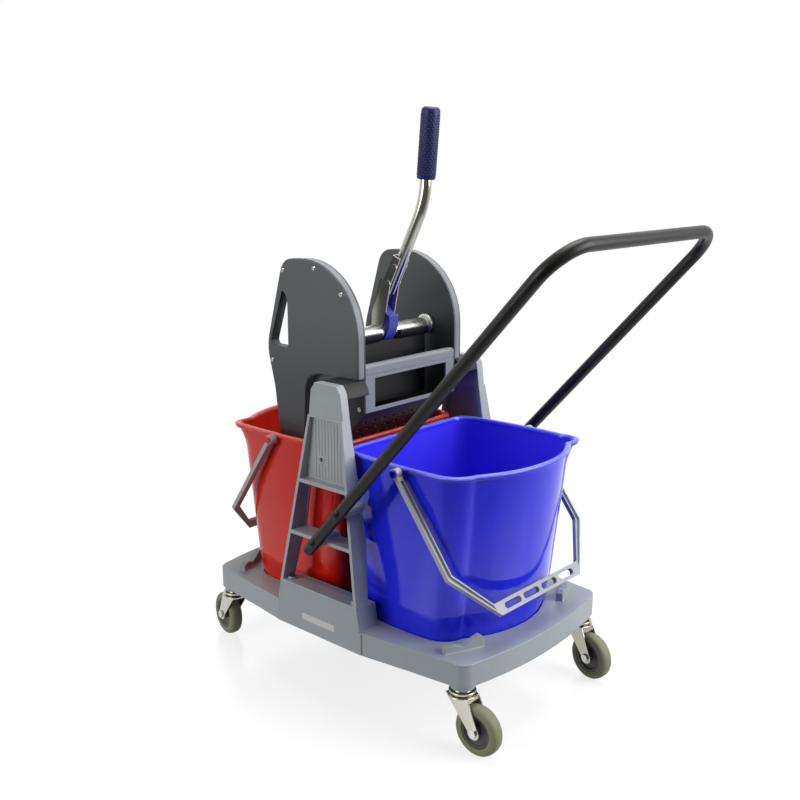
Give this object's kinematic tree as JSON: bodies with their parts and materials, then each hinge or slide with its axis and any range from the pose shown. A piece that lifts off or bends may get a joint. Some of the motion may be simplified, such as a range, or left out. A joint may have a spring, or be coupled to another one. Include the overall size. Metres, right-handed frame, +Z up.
{
  "type": "double mop bucket trolley",
  "caption": "Wheeled grey base with a blue and a red bucket side by side, side towers, a black push handle and a lever press wringer over the red bucket.",
  "frame": {"origin": "on the floor under the middle of the base", "axes": "+Z up, +X towards the blue bucket and the push handle's top bar, +Y to the side away from the picture's viewer"},
  "size_m": [0.9121, 0.511, 1.0843],
  "materials": {
    "base_plastic": "light grey moulded plastic, fine satin",
    "tower_plastic": "light grey moulded plastic, fine satin",
    "black_paint": "black powder coat, semi-gloss",
    "black_plastic": "black moulded plastic",
    "blue_plastic": "royal blue moulded plastic, soft gloss",
    "red_plastic": "red moulded plastic, soft gloss",
    "bail_plastic": "light grey moulded plastic",
    "dark_plastic": "dark grey moulded plastic, fine grain",
    "edge_plastic": "mid grey moulded plastic",
    "nylon": "natural nylon",
    "insert_plastic": "blue moulded plastic",
    "chrome": "bright chrome plate",
    "zinc_steel": "zinc plated steel",
    "spring_steel": "blued spring steel",
    "hub_plastic": "dark moulded hub",
    "tyre_rubber": "grey-olive rubber tread",
    "grip_rubber": "navy dimpled grip"
  },
  "bodies": {
    "chassis": {"base_tray": "base_plastic", "near_tower": "tower_plastic", "far_tower": "tower_plastic", "tower_bolts": "zinc_steel", "wringer_rests": "black_plastic", "push_handle": "black_paint", "handle_plugs": "black_plastic", "handle_bolts": "black_paint", "handle_nuts": "zinc_steel", "caster_stems": "zinc_steel", "caster_races": "chrome"},
    "blue_bucket": {"blue_bucket": "blue_plastic"},
    "blue_bail": {"blue_bail": "bail_plastic"},
    "red_bucket": {"red_bucket": "red_plastic"},
    "red_bail": {"red_bail": "bail_plastic"},
    "wringer": {"near_side_cover": "dark_plastic", "near_side_frame": "edge_plastic", "near_side_panel": "dark_plastic", "far_side_cover": "dark_plastic", "far_side_frame": "edge_plastic", "far_side_panel": "dark_plastic", "cover_screws": "zinc_steel", "basket_screws": "zinc_steel", "front_rail": "edge_plastic", "front_grille": "edge_plastic", "front_sieve": "black_plastic", "rear_sieve": "black_plastic", "floor_sieve": "black_plastic", "shaft_bushes": "nylon", "return_springs": "spring_steel"},
    "lever": {"press_shaft": "chrome", "shaft_flanges": "chrome", "press_plate": "black_plastic", "lever_fork": "chrome", "lever_insert": "insert_plastic", "lever_tube": "chrome", "lever_bolts": "zinc_steel", "lever_grip": "grip_rubber"},
    "near_front_swivel": {"near_front_fork": "chrome", "near_front_axle": "zinc_steel"},
    "near_front_wheel": {"near_front_hub": "hub_plastic", "near_front_tyre": "tyre_rubber"},
    "far_front_swivel": {"far_front_fork": "chrome", "far_front_axle": "zinc_steel"},
    "far_front_wheel": {"far_front_hub": "hub_plastic", "far_front_tyre": "tyre_rubber"},
    "near_rear_swivel": {"near_rear_fork": "chrome", "near_rear_axle": "zinc_steel"},
    "near_rear_wheel": {"near_rear_hub": "hub_plastic", "near_rear_tyre": "tyre_rubber"},
    "far_rear_swivel": {"far_rear_fork": "chrome", "far_rear_axle": "zinc_steel"},
    "far_rear_wheel": {"far_rear_hub": "hub_plastic", "far_rear_tyre": "tyre_rubber"}
  },
  "joints": [
    {"name": "blue_bucket_lift", "type": "slide", "parent": "chassis", "child": "blue_bucket", "axis": [0, 0, 1], "range_m": [0, 0.036]},
    {"name": "blue_bail_swing", "type": "hinge", "parent": "blue_bucket", "child": "blue_bail", "pos_m": [0.163, 0, 0.467], "axis": [0, -1, 0], "range_deg": [0, 140]},
    {"name": "red_bucket_lift", "type": "slide", "parent": "chassis", "child": "red_bucket", "axis": [0, 0, 1], "range_m": [0, 0.06]},
    {"name": "red_bail_swing", "type": "hinge", "parent": "red_bucket", "child": "red_bail", "pos_m": [-0.163, 0, 0.467], "axis": [0, 1, 0], "range_deg": [0, 120]},
    {"name": "wringer_lift", "type": "slide", "parent": "red_bucket", "child": "wringer", "axis": [0, 0, 1], "range_m": [0, 0.12]},
    {"name": "lever_press", "type": "hinge", "parent": "wringer", "child": "lever", "pos_m": [-0.045, 0, 0.668], "axis": [0, 1, 0], "range_deg": [0, 70], "stiffness_Nm_per_rad": 4, "springref_deg": -20.05},
    {"name": "near_front_swivel", "type": "hinge", "parent": "chassis", "child": "near_front_swivel", "pos_m": [0.306, -0.184, 0.1], "axis": [0, 0, 1], "continuous": true},
    {"name": "near_front_roll", "type": "hinge", "parent": "near_front_swivel", "child": "near_front_wheel", "pos_m": [0.343, -0.184, 0.045], "axis": [0, 1, 0], "continuous": true},
    {"name": "far_front_swivel", "type": "hinge", "parent": "chassis", "child": "far_front_swivel", "pos_m": [0.306, 0.184, 0.1], "axis": [0, 0, 1], "continuous": true},
    {"name": "far_front_roll", "type": "hinge", "parent": "far_front_swivel", "child": "far_front_wheel", "pos_m": [0.34219, 0.17631, 0.045], "axis": [0.2079, 0.9781, 0], "continuous": true},
    {"name": "near_rear_swivel", "type": "hinge", "parent": "chassis", "child": "near_rear_swivel", "pos_m": [-0.306, -0.184, 0.1], "axis": [0, 0, 1], "continuous": true},
    {"name": "near_rear_roll", "type": "hinge", "parent": "near_rear_swivel", "child": "near_rear_wheel", "pos_m": [-0.34205, -0.17568, 0.045], "axis": [-0.225, -0.9744, 0], "continuous": true},
    {"name": "far_rear_swivel", "type": "hinge", "parent": "chassis", "child": "far_rear_swivel", "pos_m": [-0.306, 0.184, 0.1], "axis": [0, 0, 1], "continuous": true},
    {"name": "far_rear_roll", "type": "hinge", "parent": "far_rear_swivel", "child": "far_rear_wheel", "pos_m": [-0.34244, 0.17758, 0.045], "axis": [0.1736, -0.9848, 0], "continuous": true}
  ]
}
